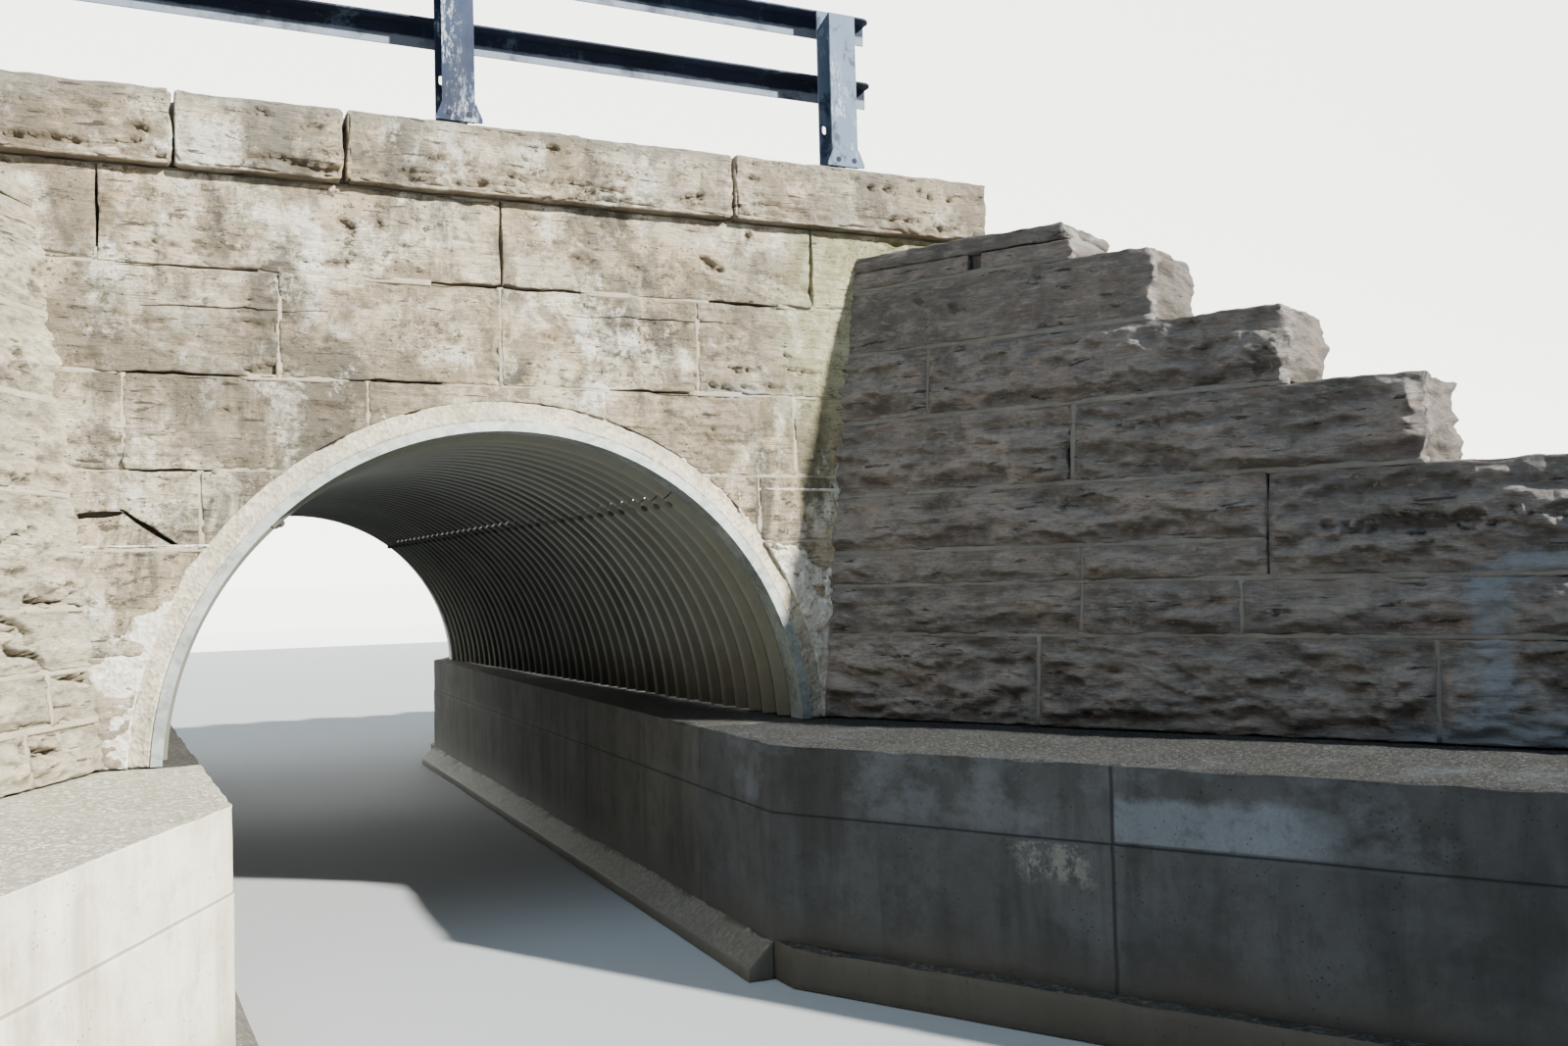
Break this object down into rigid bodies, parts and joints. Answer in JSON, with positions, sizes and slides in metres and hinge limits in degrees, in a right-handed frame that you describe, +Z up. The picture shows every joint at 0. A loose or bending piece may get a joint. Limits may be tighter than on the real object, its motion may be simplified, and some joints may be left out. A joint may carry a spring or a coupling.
{
  "type": "bridge abutment",
  "caption": "Small sandstone road bridge: coursed headwalls with stepped, splayed wing walls around a corrugated steel arch on concrete side walls, coping and low steel railing above.",
  "frame": {"origin": "centre of the plan at the level where the walls meet the bed of the waterway", "axes": "+X along the headwalls to the right seen from the front, +Y along the waterway away from the front face, +Z up"},
  "size_m": [8.1312, 14.918, 4.112],
  "materials": {
    "sandstone": "weathered, dressed",
    "coping_stone": "weathered, split",
    "rock_faced_stone": "rock faced",
    "cement_mortar": "rough",
    "concrete": "cast, stained",
    "footing_concrete": "cast, damp",
    "galvanised_band": "weathered",
    "weathered_steel": "dull, weathered",
    "railing_paint": "scuffed"
  },
  "bodies": {
    "root": {"front_headwall": "sandstone", "front_coping": "coping_stone", "front_cement_collar": "cement_mortar", "front_end_band": "galvanised_band", "front_left_wing_wall": "rock_faced_stone", "front_right_wing_wall": "rock_faced_stone", "front_left_toe_wall": "concrete", "front_right_toe_wall": "concrete", "front_left_toe_footing": "footing_concrete", "front_right_toe_footing": "footing_concrete", "front_railing_posts": "railing_paint", "front_post_clips": "railing_paint", "front_lower_rail": "railing_paint", "front_upper_rail": "railing_paint", "back_headwall": "sandstone", "back_coping": "coping_stone", "back_cement_collar": "cement_mortar", "back_end_band": "galvanised_band", "back_left_wing_wall": "rock_faced_stone", "back_right_wing_wall": "rock_faced_stone", "back_left_toe_wall": "concrete", "back_right_toe_wall": "concrete", "back_left_toe_footing": "footing_concrete", "back_right_toe_footing": "footing_concrete", "back_railing_posts": "railing_paint", "back_post_clips": "railing_paint", "back_lower_rail": "railing_paint", "back_upper_rail": "railing_paint", "left_stem_wall": "concrete", "right_stem_wall": "concrete", "left_stem_foot": "footing_concrete", "right_stem_foot": "footing_concrete", "liner_left_plate": "weathered_steel", "liner_crown_plate": "weathered_steel", "liner_right_plate": "weathered_steel"}
  },
  "joints": []
}
